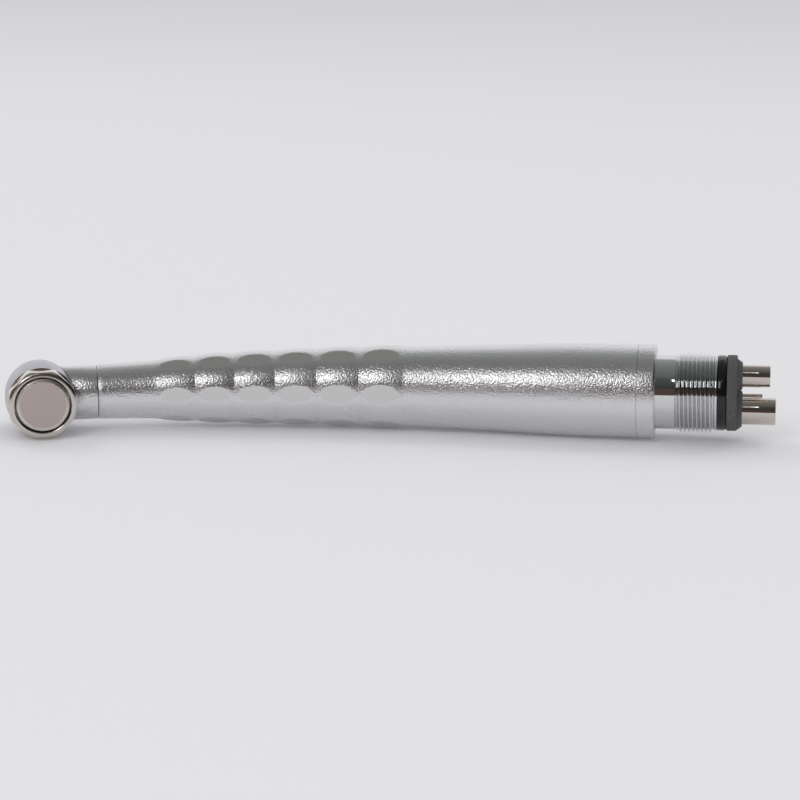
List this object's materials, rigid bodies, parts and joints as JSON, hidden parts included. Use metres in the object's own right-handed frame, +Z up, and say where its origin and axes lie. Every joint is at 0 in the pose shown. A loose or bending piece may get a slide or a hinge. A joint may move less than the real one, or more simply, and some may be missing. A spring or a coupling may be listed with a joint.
{
  "type": "dental high speed handpiece",
  "caption": "Air turbine dental handpiece: push-button chuck head, bent hollow handle with finger dimples, threaded hose connector with air and water tubes.",
  "frame": {"origin": "centre of the hose thread, on the handle axis", "axes": "+X back along the handle towards the hose, -Y the way the button faces, +Z up as it lies on its side; the bend lies in the XY plane"},
  "size_m": [0.1159, 0.0282, 0.0142],
  "materials": {
    "blasted_nickel": "bead-blasted, satin nickel plate",
    "satin_nickel": "fine satin nickel plate",
    "polished_steel": "polished stainless steel",
    "button_steel": "fine ground stainless steel",
    "chrome_plate": "mirror chrome plate",
    "bearing_steel": "ground bearing steel",
    "cage_resin": "phenolic resin",
    "seal_rubber": "smooth black rubber",
    "oring_rubber": "smooth brown fluoro rubber",
    "gasket_rubber": "matt dark grey rubber",
    "nickel_tube": "drawn nickel-silver tube",
    "spring_steel": "drawn spring wire",
    "turbine_alloy": "machined aluminium alloy",
    "brass": "turned brass"
  },
  "bodies": {
    "handle": {"head_shell": "satin_nickel", "neck_sleeve": "blasted_nickel", "back_cap": "polished_steel", "button_retainer": "spring_steel", "button_spring": "spring_steel", "rear_bearing_outer_race": "bearing_steel", "front_bearing_outer_race": "bearing_steel", "rear_bearing_oring": "oring_rubber", "front_bearing_oring": "oring_rubber", "preload_washer": "spring_steel", "air_jet": "brass", "handle_shell": "blasted_nickel", "drive_air_tube": "nickel_tube", "water_tube": "nickel_tube", "chip_air_tube": "nickel_tube", "rear_ring": "blasted_nickel", "connector_body": "chrome_plate", "connector_seal": "seal_rubber", "front_gasket": "seal_rubber", "rear_gasket": "gasket_rubber", "exhaust_stub": "nickel_tube", "drive_air_stub": "nickel_tube", "water_stub": "nickel_tube", "chip_air_stub": "nickel_tube"},
    "button": {"push_button": "button_steel"},
    "rotor": {"rear_bearing_inner_race": "bearing_steel", "front_bearing_inner_race": "bearing_steel", "spindle": "bearing_steel", "impeller": "turbine_alloy", "chuck_collet": "bearing_steel", "chuck_spring": "spring_steel"},
    "plunger": {"chuck_plunger": "bearing_steel"},
    "rear_cage": {"rear_bearing_cage": "cage_resin", "rear_bearing_balls": "bearing_steel"},
    "front_cage": {"front_bearing_cage": "cage_resin", "front_bearing_balls": "bearing_steel"}
  },
  "joints": [
    {"name": "button_press", "type": "slide", "parent": "handle", "child": "button", "axis": [-0.342, 0.9397, 0], "range_m": [0, 0.0008], "stiffness_N_per_m": 2500, "springref_m": -0.001, "deforming": ["button_spring"]},
    {"name": "rotor_spin", "type": "hinge", "parent": "handle", "child": "rotor", "pos_m": [-0.09847, -0.01179, 0], "axis": [0.342, -0.9397, 0], "continuous": true},
    {"name": "chuck_release", "type": "slide", "parent": "rotor", "child": "plunger", "axis": [-0.342, 0.9397, 0], "range_m": [0, 0.0005], "stiffness_N_per_m": 500, "springref_m": -0.0005, "deforming": ["chuck_spring"]},
    {"name": "rear_cage_spin", "type": "hinge", "parent": "handle", "child": "rear_cage", "pos_m": [-0.09728, -0.01507, 0], "axis": [0.342, -0.9397, 0], "continuous": true},
    {"name": "front_cage_spin", "type": "hinge", "parent": "handle", "child": "front_cage", "pos_m": [-0.09958, -0.00872, 0], "axis": [0.342, -0.9397, 0], "continuous": true}
  ],
  "couplings": [
    {"joint": "chuck_release", "follows": "button_press", "ratio": 0.625},
    {"joint": "rear_cage_spin", "follows": "rotor_spin", "ratio": 0.39501},
    {"joint": "front_cage_spin", "follows": "rotor_spin", "ratio": 0.39501}
  ]
}
